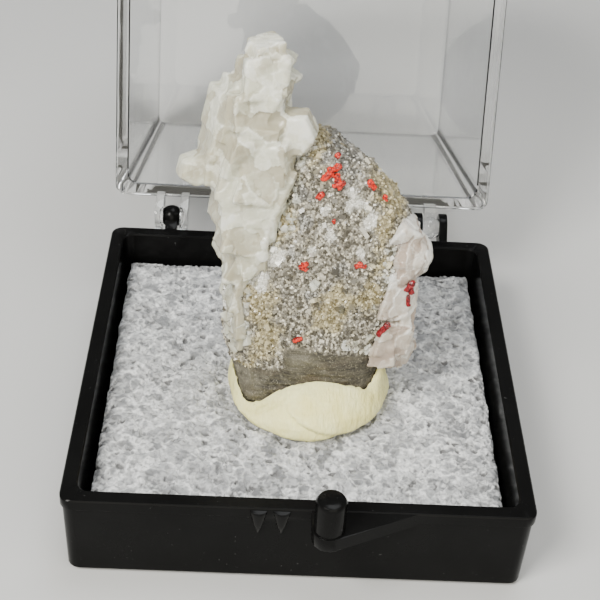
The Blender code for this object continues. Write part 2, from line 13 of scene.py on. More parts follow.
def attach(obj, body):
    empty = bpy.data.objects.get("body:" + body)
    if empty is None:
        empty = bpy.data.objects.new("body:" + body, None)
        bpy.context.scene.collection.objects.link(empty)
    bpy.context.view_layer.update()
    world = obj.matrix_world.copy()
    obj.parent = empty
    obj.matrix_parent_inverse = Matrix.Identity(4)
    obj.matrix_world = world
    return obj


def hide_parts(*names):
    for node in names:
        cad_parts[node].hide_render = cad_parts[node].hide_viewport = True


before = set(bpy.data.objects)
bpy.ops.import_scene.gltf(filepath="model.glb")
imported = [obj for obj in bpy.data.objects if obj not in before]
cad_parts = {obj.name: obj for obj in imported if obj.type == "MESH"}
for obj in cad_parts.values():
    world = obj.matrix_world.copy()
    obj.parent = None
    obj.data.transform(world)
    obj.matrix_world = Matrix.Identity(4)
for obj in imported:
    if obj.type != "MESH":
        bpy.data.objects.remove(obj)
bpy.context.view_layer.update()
bpy.context.view_layer.update()
MM = 0.001

# Camera, fitted to the box's corners in the photograph
CAMERA_PLACE = Vector((-3.64, -91.97, 85.51)) * MM
CAMERA_DOWN, CAMERA_ASIDE, CAMERA_ROLL = math.radians(37.59), math.radians(2.05), math.radians(3.72)
CAMERA_LENS = 79.95

# Box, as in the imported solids, in millimetres
BOX_SIDE, WALL, FLOOR = 38.0, 1.3, 1.2
TRAY_DEPTH, TRAY_DRAFT = 8.42, 0.12
LID_DEPTH, LID_DRAFT = 32.8, 0.4
RIM_GAP, HINGE_BEHIND = 0.3, 2.0
LIP_HEIGHT, LIP_STEP = 1.0, 0.14
HINGE_Y, HINGE_Z = BOX_SIDE / 2 + HINGE_BEHIND, TRAY_DEPTH + RIM_GAP / 2

# Specimen frame: X right, Y into the stone, Z up its front
LEAN = math.radians(12.0)
SPECIMEN_FOOT = Vector((0.75, -4.5, 8.0))


class Maths:
    """A socket of a material's node tree that adds Math nodes when it is calculated with."""

    def __init__(self, finish, socket):
        self.finish, self.socket = finish, socket

    def maths(self, operation, *values):
        return self.finish.node("ShaderNodeMath", {"operation": operation}, dict(enumerate(values)))

    def __add__(self, other):
        return self.maths("ADD", self, other)

    def __radd__(self, other):
        return self.maths("ADD", other, self)

    def __sub__(self, other):
        return self.maths("SUBTRACT", self, other)

    def __rsub__(self, other):
        return self.maths("SUBTRACT", other, self)

    def __mul__(self, other):
        return self.maths("MULTIPLY", self, other)

    def __rmul__(self, other):
        return self.maths("MULTIPLY", other, self)

    def __truediv__(self, other):
        return self.maths("DIVIDE", self, other)

    def __pow__(self, other):
        return self.maths("POWER", self, other)

    def above(self, low, high):
        """Runs smoothly from 0 at low to 1 at high."""
        settings = {"interpolation_type": "SMOOTHSTEP"}
        return self.finish.node("ShaderNodeMapRange", settings, {"Value": self, "From Min": low, "From Max": high})


class Finish:
    """A material: a Principled shader and the pattern nodes that feed it."""

    def __init__(self, name, **constants):
        self.material = bpy.data.materials.new(name)
        self.material.use_nodes = True
        self.tree = self.material.node_tree
        self.shader = self.tree.nodes["Principled BSDF"]
        for socket, value in constants.items():
            self.shader.inputs[socket.replace("_", " ").title().replace("Ior", "IOR")].default_value = value

    def feed(self, socket, value):
        if isinstance(value, Maths):
            self.tree.links.new(value.socket, socket)
        elif hasattr(value, "__len__") and len(value) == 3 and socket.type == "RGBA":
            socket.default_value = (*value, 1.0)
        else:
            socket.default_value = value

    def node(self, kind, settings=None, values=None, output=0):
        made = self.tree.nodes.new(kind)
        for name, value in (settings or {}).items():
            setattr(made, name, value)
        for name, value in (values or {}).items():
            self.feed(made.inputs[name], value)
        return Maths(self, made.outputs[output])

    def place(self, squash=(1, 1, 1)):
        """Object coordinates in millimetres, squashed along some axes."""
        where = self.node("ShaderNodeTexCoord", output="Object")
        scale = tuple(1 / MM * each for each in squash)
        return self.node("ShaderNodeMapping", None, {"Vector": where, "Scale": scale})

    def axis(self, name, where=None):
        return self.node("ShaderNodeSeparateXYZ", None, {"Vector": where or self.place()}, name)

    def noise(self, pitch, detail=3.0, rough=0.55, where=None, warp=0.0):
        """Clouds of about this pitch in millimetres."""
        values = {"Vector": where or self.place(), "Scale": 1 / pitch, "Detail": detail}
        values.update({"Roughness": rough, "Distortion": warp})
        return self.node("ShaderNodeTexNoise", None, values)

    def ridge(self, pitch, width, detail=3.0):
        """Thin bright lines where the clouds cross their middle value."""
        offset = self.noise(pitch, detail, 0.6) - 0.5
        away = offset.maths("ABSOLUTE", offset)
        return 1.0 - away.above(0.0, width)

    def cells(self, pitch, output="Distance", feature="F1", where=None):
        settings = {"feature": feature}
        return self.node("ShaderNodeTexVoronoi", settings, {"Vector": where or self.place(), "Scale": 1 / pitch}, output)

    def attribute(self, name, output="Fac"):
        return self.node("ShaderNodeAttribute", {"attribute_name": name}, None, output)

    def blend(self, factor, low, high, kind="MIX"):
        """Colour mix: low where the factor is 0, high where it is 1."""
        made = self.tree.nodes.new("ShaderNodeMix")
        made.data_type, made.blend_type = "RGBA", kind
        for index, value in ((0, factor), (6, low), (7, high)):
            self.feed(made.inputs[index], value)
        return Maths(self, made.outputs[2])

    def bump(self, height, strength, distance):
        """Relief of this height in millimetres."""
        values = {"Height": height, "Strength": strength, "Distance": distance * MM}
        self.feed(self.shader.inputs["Normal"], self.node("ShaderNodeBump", None, values))

    def surface(self, **inputs):
        for socket, value in inputs.items():
            self.feed(self.shader.inputs[socket.replace("_", " ").title()], value)
        return self.material


def black_plastic():
    """Glossy near-black moulding with a few specks of dust."""
    finish = Finish("black_plastic", ior=1.45, specular_ior_level=0.09)
    smear = finish.noise(5.0, 4.0)
    speck = finish.noise(0.32, 2.0).above(0.73, 0.79)
    colour = finish.blend(smear, (0.002, 0.002, 0.002), (0.006, 0.006, 0.006))
    finish.bump(finish.noise(0.9, 4.0), 0.08, 0.05)
    dusted = finish.blend(speck * 0.3, colour, (0.16, 0.16, 0.16))
    return finish.surface(base_color=dusted, roughness=0.10 + smear * 0.2)


def clear_plastic():
    finish = Finish("clear_plastic", ior=1.47, transmission_weight=1.0, roughness=0.02)
    haze = finish.noise(7.0, 2.0)
    finish.bump(haze, 0.05, 0.15)
    return finish.surface(base_color=finish.blend(haze, (0.97, 0.98, 0.98), (0.99, 0.99, 0.985)))


def foam_skin():
    """Cut translucent foam: pale cells, fine bright wisps as painted highlights, and painted shade in the pits and
    small hollows.
    """
    finish = Finish("foam_skin", ior=1.4, subsurface_weight=0.4, subsurface_scale=0.0009)
    finish.shader.inputs["Subsurface Radius"].default_value = (1.0, 1.0, 1.0)
    painted_lightness = finish.attribute("painted_lightness")
    cloud = finish.noise(2.6, 3.0)
    # Painted highlights: fine bright wisps along the cut cell walls
    highlight_wisp = finish.ridge(1.3, 0.10, 2.0) * 0.35 + finish.ridge(2.4, 0.06, 3.0) * 0.5
    pale = finish.blend(cloud.above(0.3, 0.7), (0.20, 0.204, 0.212), (0.37, 0.376, 0.388))
    # Painted shade: the pits and hollows darken towards deep grey
    colour = finish.blend(painted_lightness.above(0.1, 0.8), (0.16, 0.16, 0.162), pale)
    bright = finish.blend(highlight_wisp * painted_lightness.above(0.1, 0.5), colour, (0.84, 0.845, 0.855))
    finish.bump(finish.noise(0.25, 3.0) + highlight_wisp, 0.5, 0.08)
    return finish.surface(base_color=bright, roughness=0.35 + cloud * 0.25)


def putty_paste():
    finish = Finish("putty_paste", ior=1.45, subsurface_weight=0.2, subsurface_scale=0.001)
    finish.shader.inputs["Subsurface Radius"].default_value = (1.0, 0.9, 0.7)
    blotch = finish.noise(2.2, 4.0)
    scratch = finish.noise(0.3, 4.0, 0.65, where=finish.place((1.0, 0.3, 0.3)))
    shaded_pit = finish.noise(0.4, 3.0).above(0.68, 0.76)
    colour = finish.blend(blotch.above(0.3, 0.7), (0.88, 0.81, 0.33), (0.96, 0.915, 0.46))
    finish.bump(scratch * 1.6 + finish.noise(1.6, 3.0) - shaded_pit, 0.7, 0.2)
    # Painted shade: the small pits are darkened in colour as well as sunk by the bump
    return finish.surface(base_color=finish.blend(shaded_pit * 0.35, colour, (0.55, 0.50, 0.32)), roughness=0.42 + blotch * 0.2)


def stone_face():
    """Grey stone with tan and white patches, and darker laminated shale at its foot."""
    finish = Finish("stone_face", ior=1.5)
    grain = finish.noise(0.3, 5.0, 0.7)
    fleck = finish.noise(0.16, 3.0, 0.7)
    shale, tan, white, dark = (finish.attribute(name) for name in ("shale", "tan", "white", "dark"))
    grey = finish.blend(grain.above(0.36, 0.62), (0.11, 0.099, 0.077), (0.46, 0.42, 0.335))
    warm = finish.blend(grain.above(0.34, 0.66), (0.15, 0.12, 0.06), (0.46, 0.405, 0.25))
    pale = finish.blend(grain.above(0.3, 0.6), (0.42, 0.40, 0.34), (0.80, 0.79, 0.74))
    deep = finish.blend(grain.above(0.40, 0.66), (0.085, 0.08, 0.07), (0.34, 0.33, 0.30))
    body = finish.blend((tan + grain - 0.5).above(0.1, 0.8), grey, warm)
    body = finish.blend((dark + grain * 0.5 - 0.25).above(0.4, 1.0), body, deep)
    body = finish.blend((white + grain * 0.5 - 0.25).above(0.3, 0.7), body, pale)
    body = finish.blend(fleck.above(0.58, 0.66) * 0.8, body, (0.035, 0.03, 0.022))
    layer = finish.noise(0.3, 5.0, 0.65, where=finish.place((0.10, 0.10, 1.0)))
    brown = finish.noise(1.4, 3.0, where=finish.place((0.5, 0.5, 1.0))).above(0.5, 0.75)
    mud = finish.blend((layer * 0.7 + grain * 0.4).above(0.38, 0.74), (0.013, 0.0105, 0.007), (0.105, 0.093, 0.066))
    mud = finish.blend(brown * 0.5, mud, (0.10, 0.07, 0.04))
    mud = finish.blend(tan * 0.5 + fleck.above(0.56, 0.64) * 0.7, mud, (0.25, 0.23, 0.17))
    finish.bump(grain + fleck * 0.5 + layer * shale, 0.8, 0.16)
    return finish.surface(base_color=finish.blend(shale, body, mud), roughness=0.7 - grain * 0.3)


def druse_grain():
    """Small glassy crystals: each takes its own tint, and the colour of the stone below it."""
    finish = Finish("druse_grain", ior=1.6, subsurface_weight=0.1, subsurface_scale=0.0004)
    finish.shader.inputs["Subsurface Radius"].default_value = (1.0, 0.95, 0.85)
    tint, tan, white, dark = (finish.attribute(name) for name in ("tint", "tan", "white", "dark"))
    grey = finish.blend(tint ** 2.6, (0.085, 0.076, 0.058), (0.84, 0.79, 0.67))
    warm = finish.blend(tint ** 1.3, (0.15, 0.12, 0.055), (0.66, 0.585, 0.375))
    pale = finish.blend(tint, (0.55, 0.53, 0.47), (0.88, 0.875, 0.84))
    deep = finish.blend(tint ** 3.0, (0.085, 0.08, 0.07), (0.68, 0.67, 0.63))
    body = finish.blend((tan + tint * 0.5).above(0.35, 1.0), grey, warm)
    body = finish.blend(dark.above(0.3, 1.0) * 0.85, body, deep)
    body = finish.blend(white.above(0.2, 0.6), body, pale)
    return finish.surface(base_color=body, roughness=0.12 + tint * 0.25)


def calcite_body(name="calcite_body", face=(0.72, 0.72, 0.58), beige=(0.55, 0.51, 0.385), white=(0.97, 0.965, 0.86)):
    """Milky cleavage faces, each of its own tone, with painted highlights along their edges and frosted patches."""
    finish = Finish(name, ior=1.5, subsurface_weight=0.55, subsurface_scale=0.0009, transmission_weight=0.24)
    finish.shader.inputs["Subsurface Radius"].default_value = (1.0, 0.95, 0.85)
    tone, edge, frost = (finish.attribute(name) for name in ("tone", "edge", "frost"))
    veil = finish.noise(1.8, 4.0, warp=0.5)
    milk = finish.noise(2.9, 5.0, 0.6, warp=0.8)
    streak = finish.noise(0.5, 3.0, where=finish.place((1.0, 1.0, 0.3)))
    colour = finish.blend((tone * 1.2 + veil * 1.3 - 0.85).above(0.0, 0.7), beige, face)
    # Painted highlight on the cleavage edges, mixed with the real white of frost, milky clouds and tone
    white_and_highlight = edge * 0.42 + frost * 0.5 + (milk - 0.5) * 1.7 + (tone - 0.5) * 1.3
    colour = finish.blend(white_and_highlight.above(0.0, 1.0), colour, white)
    finish.bump(streak + finish.noise(0.3, 3.0) * 0.5, 0.4, 0.10)
    return finish.surface(base_color=colour, roughness=0.08 + veil * 0.24)


def realgar_red(name="realgar_red", low=(0.12, 0.001, 0.001), high=(0.72, 0.022, 0.002)):
    """Orange-red resinous crystals, or deep red ones."""
    finish = Finish(name, ior=1.6)
    shade = finish.noise(0.24, 3.0)
    finish.bump(finish.noise(0.15, 2.0), 0.3, 0.04)
    return finish.surface(base_color=finish.blend(shade.above(0.36, 0.58), low, high), roughness=0.12 + shade * 0.25)


def floor_paint():
    finish = Finish("floor_paint")
    tone = finish.noise(60.0, 2.0)
    return finish.surface(base_color=finish.blend(tone, (0.50, 0.50, 0.50), (0.53, 0.53, 0.53)), roughness=0.7)


def new_piece(name, mesh, finish, body, slot, *nodes):
    """A finished piece: its place in its mesh, riding on a body and standing for its nodes."""
    made = bpy.data.objects.new(name, mesh)
    bpy.context.scene.collection.objects.link(made)
    mesh.materials.clear()
    mesh.materials.append(finish)
    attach(made, body)
    if nodes:
        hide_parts(*nodes)
    return made


def mesh_from(shape, name, in_metres=False):
    """Turns a bmesh in millimetres into a mesh in metres."""
    if not in_metres:
        bmesh.ops.scale(shape, vec=(MM, MM, MM), verts=shape.verts)
    mesh = bpy.data.meshes.new(name)
    shape.to_mesh(mesh)
    shape.free()
    return mesh


def with_modifiers(mesh, *steps):
    """The mesh after these modifiers, each given as its type and its settings."""
    holder = bpy.data.objects.new("holder", mesh)
    bpy.context.scene.collection.objects.link(holder)
    for kind, settings in steps:
        modifier = holder.modifiers.new(kind.lower(), kind)
        for name, value in settings.items():
            setattr(modifier, name, value)
    graph = bpy.context.evaluated_depsgraph_get()
    made = bpy.data.meshes.new_from_object(holder.evaluated_get(graph))
    bpy.data.objects.remove(holder, do_unlink=True)
    return made


def node_shape(name):
    """A CAD node's mesh in its place with its doubles merged, as a bmesh in metres."""
    shape = bmesh.new()
    shape.from_mesh(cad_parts[name].data)
    bmesh.ops.transform(shape, matrix=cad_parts[name].matrix_world, verts=shape.verts)
    bmesh.ops.remove_doubles(shape, verts=shape.verts, dist=0.003 * MM)
    return shape


def specimen_place():
    """From the specimen's own frame, in millimetres, to the row frame, in millimetres."""
    return Matrix.Translation(SPECIMEN_FOOT) @ Matrix.Rotation(-LEAN, 4, "X")


def normals_of(mesh):
    """Every point's normal, read before any point moves."""
    return [Vector(each.vector) for each in mesh.vertex_normals]


def store(mesh, name, values):
    """Keeps one number for each point of the mesh."""
    mesh.attributes.new(name, "FLOAT", "POINT").data.foreach_set("value", values)


def reshape(mesh, rule):
    """Moves every point along its normal by a rule on the specimen's own frame, in millimetres."""
    inward = specimen_place().inverted()
    places = []
    for vertex, normal in zip(mesh.vertices, normals_of(mesh)):
        places.append(vertex.co + normal * rule(inward @ (vertex.co / MM)) * MM)
    mesh.vertices.foreach_set("co", np.array(places).ravel())
    mesh.update()


SHALE_TOP, SHALE_LOW_TOP, SHALE_STEP_X = 4.3, 2.3, -2.4

# Patches of the stone's front: x, z and reach in the specimen's frame
PATCHES = {
    "tan": (
        (6.1, 19.2, 1.5), (6.6, 17.4, 1.3), (5.5, 15.0, 1.0), (5.6, 12.5, 0.9), (-3.2, 15.7, 1.4),
        (-1.2, 22.3, 1.4), (2.1, 9.0, 1.4), (1.2, 7.4, 1.3), (-4.0, 5.0, 1.6), (-4.6, 8.5, 1.5),
        (1.2, 21.9, 0.9), (5.0, 9.5, 1.2), (-5.8, 0.8, 1.8), (-1.2, 3.6, 1.2),
    ),
    "white": (
        (0.36, 17.16, 0.35), (-0.51, 13.54, 0.4), (3.74, 13.57, 0.42), (2.8, 18.1, 0.9), (-2.6, 20.9, 1.3),
        (-1.9, 23.3, 1.1), (-6.6, 5.2, 1.0), (-6.9, 7.5, 1.0), (-0.1, 10.6, 0.45), (8.7, 12.2, 2.2),
        (6.9, 8.6, 0.9), (-3.4, 12.8, 0.9), (0.9, 15.2, 0.7), (4.3, 16.3, 0.8), (-4.9, 10.3, 0.9),
    ),
    "dark": (
        (1.8, 21.3, 1.2), (0.6, 21.3, 0.9), (2.4, 19.4, 0.9), (-0.4, 9.4, 0.9), (2.4, 8.4, 0.45),
        (-1.6, 18.2, 1.0), (-1.0, 16.2, 0.9), (2.0, 12.0, 1.1), (-1.9, 13.0, 0.8), (3.6, 20.8, 0.8),
    ),
}


def patch(own, name):
    """How strongly a point of the specimen's frame belongs to a kind of patch, from 0 to 1."""
    near = sum(math.exp(-((own.x - x) ** 2 + (own.z - z) ** 2) / reach**2) for x, z, reach in PATCHES[name])
    shifted = own + Vector((17.0 * len(name), 0.0, 5.0))
    clump = 0.45 * noise.noise(shifted * 0.8) + 0.35 * noise.noise(shifted * 2.1)
    return min(max(near * (1.0 + clump) + clump - 0.04, 0.0), 1.0)


def is_shale(own):
    top = SHALE_TOP + 0.6 * noise.noise(own * 0.5)
    return own.z < top and (own.x > SHALE_STEP_X or own.z < SHALE_LOW_TOP)


def stone_relief(own):
    """Grainy stone, or thin ledges of shale."""
    if is_shale(own):
        ledge = noise.cell(Vector((own.x * 0.25, 3.0, own.z * 3.1 + 0.5 * noise.noise(own * 0.5))))
        fine = noise.noise(Vector((own.x * 0.5, own.y * 0.5, own.z * 6.0)))
        return 0.07 * ledge + 0.08 * fine + 0.05 * noise.noise(own * 2.5)
    distances, centres = noise.voronoi(own / 0.5)
    facet = 0.07 * noise.cell(centres[0] * 5.3) - 0.10 * distances[0]
    return 0.26 * noise.noise(own * 1.0) + 0.10 * noise.noise(own * 2.6) + facet


def make_stone():
    shape = node_shape("matrix_rock")
    fine = with_modifiers(mesh_from(shape, "stone", True), ("SUBSURF", {"levels": 3, "render_levels": 3}))
    reshape(fine, stone_relief)
    inward = specimen_place().inverted()
    points = [inward @ (vertex.co / MM) for vertex in fine.vertices]
    store(fine, "shale", [1.0 if is_shale(own) else 0.0 for own in points])
    for name in PATCHES:
        store(fine, name, [patch(own, name) for own in points])
    fine.shade_smooth()
    return fine


def socket_value(tree, name, kind, value):
    made = tree.interface.new_socket(name, in_out="INPUT", socket_type=kind)
    made.default_value = value
    return made


def scatter_tree(name, finish):
    """Geometry Nodes that grow small crystals on a surface, denser where its 'grow' attribute is high."""
    tree = bpy.data.node_groups.new(name, "GeometryNodeTree")
    tree.interface.new_socket("Surface", in_out="INPUT", socket_type="NodeSocketGeometry")
    for label, value in (("Spacing", 0.0003), ("Density", 1e7), ("Smallest", 0.0001), ("Largest", 0.0003)):
        socket_value(tree, label, "NodeSocketFloat", value)
    socket_value(tree, "Seed", "NodeSocketInt", 1)
    tree.interface.new_socket("Crystals", in_out="OUTPUT", socket_type="NodeSocketGeometry")
    nodes, links = tree.nodes, tree.links
    given = nodes.new("NodeGroupInput")
    result = nodes.new("NodeGroupOutput")
    points = nodes.new("GeometryNodeDistributePointsOnFaces")
    points.distribute_method = "POISSON"
    grow = nodes.new("GeometryNodeInputNamedAttribute")
    grow.data_type = "FLOAT"
    grow.inputs["Name"].default_value = "grow"
    links.new(given.outputs["Surface"], points.inputs["Mesh"])
    links.new(given.outputs["Spacing"], points.inputs["Distance Min"])
    links.new(given.outputs["Density"], points.inputs["Density Max"])
    links.new(grow.outputs["Attribute"], points.inputs["Density Factor"])
    links.new(given.outputs["Seed"], points.inputs["Seed"])
    form = nodes.new("GeometryNodeMeshCube")
    form.inputs["Size"].default_value = (1.0, 0.8, 0.62)
    turn = nodes.new("FunctionNodeRandomValue")
    turn.data_type = "FLOAT_VECTOR"
    turn.inputs[0].default_value = (-3.14, -3.14, -3.14)
    turn.inputs[1].default_value = (3.14, 3.14, 3.14)
    links.new(given.outputs["Seed"], turn.inputs["Seed"])
    size = nodes.new("FunctionNodeRandomValue")
    size.data_type = "FLOAT"
    links.new(given.outputs["Smallest"], size.inputs[2])
    links.new(given.outputs["Largest"], size.inputs[3])
    links.new(given.outputs["Seed"], size.inputs["Seed"])
    copies = nodes.new("GeometryNodeInstanceOnPoints")
    links.new(points.outputs["Points"], copies.inputs["Points"])
    links.new(form.outputs["Mesh"], copies.inputs["Instance"])
    links.new(turn.outputs[0], copies.inputs["Rotation"])
    links.new(size.outputs[1], copies.inputs["Scale"])
    tint = nodes.new("FunctionNodeRandomValue")
    tint.data_type = "FLOAT"
    tint.inputs["Seed"].default_value = 7
    keep = nodes.new("GeometryNodeStoreNamedAttribute")
    keep.data_type, keep.domain = "FLOAT", "INSTANCE"
    keep.inputs["Name"].default_value = "tint"
    links.new(copies.outputs["Instances"], keep.inputs["Geometry"])
    links.new(tint.outputs[1], keep.inputs["Value"])
    real = nodes.new("GeometryNodeRealizeInstances")
    paint = nodes.new("GeometryNodeSetMaterial")
    paint.inputs["Material"].default_value = finish
    links.new(keep.outputs["Geometry"], real.inputs["Geometry"])
    links.new(real.outputs["Geometry"], paint.inputs["Geometry"])
    links.new(paint.outputs["Geometry"], result.inputs["Crystals"])
    return tree


def grown_crystals(carrier, tree, **sizes):
    """A plain mesh of the crystals that the tree grows on the carrier mesh."""
    holder = bpy.data.objects.new("grower", carrier)
    bpy.context.scene.collection.objects.link(holder)
    grower = holder.modifiers.new("grow", "NODES")
    grower.node_group = tree
    for item in tree.interface.items_tree:
        if item.in_out == "INPUT" and item.name in sizes:
            grower[item.identifier] = sizes[item.name]
    graph = bpy.context.evaluated_depsgraph_get()
    made = bpy.data.meshes.new_from_object(holder.evaluated_get(graph))
    bpy.data.objects.remove(holder, do_unlink=True)
    return made


def set_growth(mesh, rule):
    """Stores how densely crystals grow at each point, from a rule on the specimen's own frame."""
    inward = specimen_place().inverted()
    turn = inward.to_3x3()
    pairs = zip(mesh.vertices, normals_of(mesh))
    store(mesh, "grow", [rule(inward @ (vertex.co / MM), turn @ normal) for vertex, normal in pairs])


def grow_druse(fine, name, finish, rule, **sizes):
    """One kind of small crystals on the stone, with the stone's patches kept at their points."""
    mesh = fine.copy()
    set_growth(mesh, rule)
    crystals = grown_crystals(mesh, scatter_tree(name, finish), **sizes)
    inward = specimen_place().inverted()
    points = [inward @ (vertex.co / MM) for vertex in crystals.vertices]
    for kind in PATCHES:
        store(crystals, kind, [patch(own, kind) for own in points])
    new_piece(name, crystals, finish, "base", "rock")


def fine_growth(own, normal):
    if is_shale(own) or own.z < SHALE_LOW_TOP:
        return 0.0
    return 0.15 + 0.85 * min(max(-normal.y * 1.6, 0.0), 1.0)


def coarse_growth(own, normal):
    if is_shale(own) or own.z < SHALE_LOW_TOP or normal.y > 0.3:
        return 0.0
    clump = noise.noise(own * 0.9 + Vector((3.0, 0.0, 8.0)))
    return min(0.06 + 0.5 * max(clump, 0.0) + 0.94 * patch(own, "white"), 1.0)


def dress_stone():
    fine = make_stone()
    grain = druse_grain()
    grow_druse(fine, "druse", grain, fine_growth, Spacing=0.00014, Density=6e7, Smallest=0.00012, Largest=0.00028, Seed=3)
    grow_druse(fine, "druse_grains", grain, coarse_growth, Spacing=0.0004, Density=3e6, Smallest=0.0003, Largest=0.0006, Seed=8)
    new_piece("stone", fine, stone_face(), "base", "rock", "matrix_rock")
    return BVHTree.FromPolygons([vertex.co for vertex in fine.vertices], [face.vertices for face in fine.polygons])


CLEAVAGE = Matrix(((1.0, 0.12, 0.20), (-0.10, 1.0, 0.12), (-0.16, -0.05, 1.0)))
# Large and small cleavage steps: pitch, height
CLEAVAGE_STEPS = ((2.1, 0.10), (0.85, 0.04))
FACET_TILT = 2.2
EDGE_WIDTH = 0.09
# Clefts between crystals narrower than twice this are grown over
GAP_FILL = 0.16


def cleavage(own, pitch):
    """The level of the cleavage cell at a point, how near its edge is, and its tilted face's height."""
    bent = CLEAVAGE @ own / pitch + 0.18 * noise.noise_vector(own * 0.8 / pitch)
    distances, centres = noise.voronoi(bent, distance_metric="CHEBYCHEV")
    level = noise.cell(centres[0] * 5.1)
    tilt = noise.cell_vector(centres[0] * 2.3) - Vector((0.5, 0.5, 0.5))
    slope = tilt.dot(bent - centres[0])
    return level, max(1.0 - (distances[1] - distances[0]) / EDGE_WIDTH, 0.0), level + FACET_TILT * slope


def calcite_relief(own):
    calm = 1.0 - 0.75 / (1.0 + math.exp(4.0 * (own.x + 8.8)))
    steps = sum(height * cleavage(own, pitch)[2] for pitch, height in CLEAVAGE_STEPS)
    return calm * steps + 0.012 * noise.noise(own * 3.0)


def dress_calcite(node, piece, slot, finish, voxel):
    """Grown-together crystals with flat steps, softened edges and a tone for each face."""
    voxels = ("REMESH", {"mode": "VOXEL", "voxel_size": voxel * MM})
    outwards, inwards = (("DISPLACE", {"strength": way * GAP_FILL * MM, "mid_level": 0.0}) for way in (1, -1))
    smooth = ("SMOOTH", {"factor": 0.5, "iterations": 1})
    steps = (voxels, outwards, voxels, inwards, voxels, smooth)
    fine = with_modifiers(mesh_from(node_shape(node), piece, True), *steps)
    inward = specimen_place().inverted()
    tones, edges, frosts = [], [], []
    for vertex in fine.vertices:
        own = inward @ (vertex.co / MM)
        large, small = (cleavage(own, pitch) for pitch, _ in CLEAVAGE_STEPS)
        tones.append(0.5 + 0.35 * large[0] + 0.15 * small[0])
        # Nearness to a cleavage edge, where the finish paints a highlight
        edges.append(max(large[1], 0.7 * small[1]))
        crown = 0.0 if node == "calcite_mass" else 0.9 / (1.0 + math.exp(-2.0 * (own.z - 10.0)))
        crown += math.exp(-((own.z - 30.5) / 2.2) ** 2) + 0.8 * math.exp(-((own.x + 1.9) ** 2 + (own.z - 23.4) ** 2) / 2.4)
        frosts.append(min(crown, 1.0))
    store(fine, "tone", tones)
    store(fine, "edge", edges)
    store(fine, "frost", frosts)
    reshape(fine, calcite_relief)
    fine.shade_smooth()
    new_piece(piece, fine, finish, "base", slot, node)


# Lines on the stone's front along which small clear crystals sit: points x, z, then crystal size
CRYSTAL_LINES = (
    ((-1.9, 21.6), (-1.9, 19.0), (-2.4, 16.0), (-3.8, 13.0), (-5.1, 10.9), (-5.9, 9.6), (-6.05, 7.8), (-6.05, 6.0), (-6.0, 4.0), 0.56),
    ((-6.6, 10.4), (-6.9, 8.6), (-6.8, 6.8), (-6.5, 5.0), (-6.3, 3.6), 0.95),
    ((6.6, 14.6), (6.3, 12.0), (6.1, 9.6), (5.8, 7.4), (5.4, 5.0), 0.48),
    ((2.6, 4.8), (3.4, 4.9), (4.2, 4.75), (5.0, 5.2), 0.62),
    ((-0.4, 10.6), (0.2, 10.5), 0.6),
    ((2.2, 18.3), (3.4, 17.8), (4.2, 16.4), 0.4),
)
CRYSTALS_PER_STEP = 8


def small_rhomb(centre, size, turn):
    """A bevelled cleavage rhomb, as a bmesh in millimetres."""
    shape = bmesh.new()
    bmesh.ops.create_cube(shape, size=1.0)
    bmesh.ops.bevel(shape, geom=shape.edges, offset=0.05, segments=1, affect="EDGES")
    skew = Matrix(((1.0, 0.0, 0.2, 0.0), (0.15, 1.0, 0.1, 0.0), (0.0, 0.0, 1.0, 0.0), (0.0, 0.0, 0.0, 1.0)))
    place = Matrix.Translation(centre) @ turn.to_matrix().to_4x4() @ Matrix.Diagonal((*size, 1.0)) @ skew
    bmesh.ops.transform(shape, matrix=place, verts=shape.verts)
    return shape


def make_crystals(surface, finish):
    """Small clear crystals where the calcite meets the stone, set into the stone's front."""
    chance = random.Random(12)
    place = specimen_place()
    into = place.to_3x3() @ Vector((0.0, 1.0, 0.0))
    whole = bmesh.new()
    for *points, size in CRYSTAL_LINES:
        for (ax, az), (bx, bz) in zip(points, points[1:]):
            count = max(int(math.hypot(bx - ax, bz - az) * CRYSTALS_PER_STEP / 2), 2)
            for step in range(count):
                part = (step + chance.random()) / count
                x = ax + (bx - ax) * part + chance.gauss(0.0, 0.35)
                z = az + (bz - az) * part + chance.gauss(0.0, 0.35)
                hit = surface.ray_cast((place @ Vector((x, -20.0, z))) * MM, into)[0]
                if hit is None:
                    continue
                scale = [size * chance.uniform(0.5, 1.25) for _ in range(3)]
                turn = Euler([chance.uniform(-1.5, 1.5) for _ in range(3)])
                rhomb = small_rhomb(hit / MM + into * 0.12, scale, turn)
                part_mesh = bpy.data.meshes.new("rhomb")
                rhomb.to_mesh(part_mesh)
                rhomb.free()
                whole.from_mesh(part_mesh)
                bpy.data.meshes.remove(part_mesh)
    mesh = mesh_from(whole, "crystals")
    inward = place.inverted()
    store(mesh, "tone", [0.5 + 0.5 * noise.cell((inward @ (vertex.co / MM)) * 1.3) for vertex in mesh.vertices])
    # A flat share of the calcite's painted edge highlight, and of its frost
    for name, value in (("edge", 0.2), ("frost", 0.25)):
        store(mesh, name, [value] * len(mesh.vertices))
    new_piece("clear_crystals", mesh, finish, "base", "calcite")


def dress_box(node, piece, slot, finish, body):
    """A box half with narrow rounded edges and smooth balls and knob."""
    shape = node_shape(node)
    bmesh.ops.dissolve_limit(shape, angle_limit=math.radians(0.4), verts=shape.verts, edges=shape.edges)
    edges = {"width": 0.05 * MM, "segments": 2, "limit_method": "ANGLE", "angle_limit": math.radians(40)}
    edges["use_clamp_overlap"] = True
    fine = with_modifiers(mesh_from(shape, piece, True), ("BEVEL", edges), ("TRIANGULATE", {}))
    fine.shade_smooth()
    fine.set_sharp_from_angle(angle=math.radians(32))
    fine = with_modifiers(fine, ("WEIGHTED_NORMAL", {"keep_sharp": True}))
    new_piece(piece, fine, finish, body, slot, node)


FOAM_HALF, FOAM_TOP, FOAM_BOTTOM = 17.05, 5.8, 1.35
FOAM_STEPS = 290
CELL_PITCH = 0.85
CELL_DEPTH = 0.3


